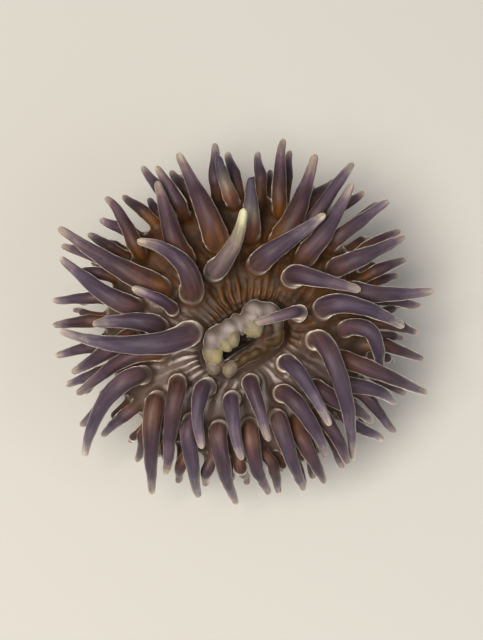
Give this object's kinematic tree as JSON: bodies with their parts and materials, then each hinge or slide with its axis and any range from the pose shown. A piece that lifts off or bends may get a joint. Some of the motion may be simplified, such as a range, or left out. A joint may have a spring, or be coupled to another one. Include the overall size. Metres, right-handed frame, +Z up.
{
  "type": "sea anemone",
  "caption": "Life-size still model of a small open sea anemone: flat foot, short column, disc with a lobed mouth, and tapering purple tentacles",
  "frame": {"origin": "centre of the foot's flat underside, on the surface the animal rests on", "axes": "+Z up along the column, +Y toward the side where the tentacles lean out flat, -Y toward the side where they droop, +X to the right seen from -Y"},
  "size_m": [0.0454, 0.043, 0.0247],
  "materials": {
    "foot_flesh": "wet matt flesh",
    "column_flesh": "wet satin flesh",
    "disc_flesh": "wet satin flesh",
    "lip_flesh": "wet glossy flesh",
    "tentacle_flesh": "wet glossy translucent flesh",
    "outer_tentacle_flesh": "wet glossy translucent flesh"
  },
  "bodies": {
    "root": {"column": "column_flesh", "inner_tentacle_01": "tentacle_flesh", "inner_tentacle_02": "tentacle_flesh", "inner_tentacle_03": "tentacle_flesh", "inner_tentacle_04": "tentacle_flesh", "inner_tentacle_05": "tentacle_flesh", "inner_tentacle_06": "tentacle_flesh", "inner_tentacle_07_root": "tentacle_flesh", "inner_tentacle_07_tip": "tentacle_flesh", "inner_tentacle_08": "tentacle_flesh", "inner_tentacle_09": "tentacle_flesh", "inner_tentacle_10": "tentacle_flesh", "inner_tentacle_11": "tentacle_flesh", "inner_tentacle_12": "tentacle_flesh", "inner_tentacle_13_root": "tentacle_flesh", "inner_tentacle_13_tip": "tentacle_flesh", "inner_tentacle_14": "tentacle_flesh", "inner_tentacle_15": "tentacle_flesh", "margin_01": "outer_tentacle_flesh", "margin_02": "outer_tentacle_flesh", "margin_03": "outer_tentacle_flesh", "margin_04": "outer_tentacle_flesh", "margin_05": "outer_tentacle_flesh", "margin_06": "outer_tentacle_flesh", "margin_07": "outer_tentacle_flesh", "margin_08": "outer_tentacle_flesh", "margin_09": "outer_tentacle_flesh", "margin_10": "outer_tentacle_flesh", "margin_11": "outer_tentacle_flesh", "margin_12": "outer_tentacle_flesh", "middle_tentacle_01": "tentacle_flesh", "middle_tentacle_02": "tentacle_flesh", "middle_tentacle_03": "tentacle_flesh", "middle_tentacle_04": "tentacle_flesh", "middle_tentacle_05": "tentacle_flesh", "middle_tentacle_06": "tentacle_flesh", "middle_tentacle_07": "tentacle_flesh", "middle_tentacle_08": "tentacle_flesh", "middle_tentacle_09": "tentacle_flesh", "middle_tentacle_10": "tentacle_flesh", "middle_tentacle_11": "tentacle_flesh", "middle_tentacle_12": "tentacle_flesh", "middle_tentacle_13": "tentacle_flesh", "middle_tentacle_14": "tentacle_flesh", "middle_tentacle_15_root": "tentacle_flesh", "middle_tentacle_15_tip": "tentacle_flesh", "middle_tentacle_16_root": "tentacle_flesh", "middle_tentacle_16_tip": "tentacle_flesh", "middle_tentacle_17": "tentacle_flesh", "middle_tentacle_18": "tentacle_flesh", "middle_tentacle_19": "tentacle_flesh", "middle_tentacle_20": "tentacle_flesh", "middle_tentacle_21": "tentacle_flesh", "mouth_lips": "lip_flesh", "oral_disc": "disc_flesh", "pedal_disc": "foot_flesh"}
  },
  "joints": []
}
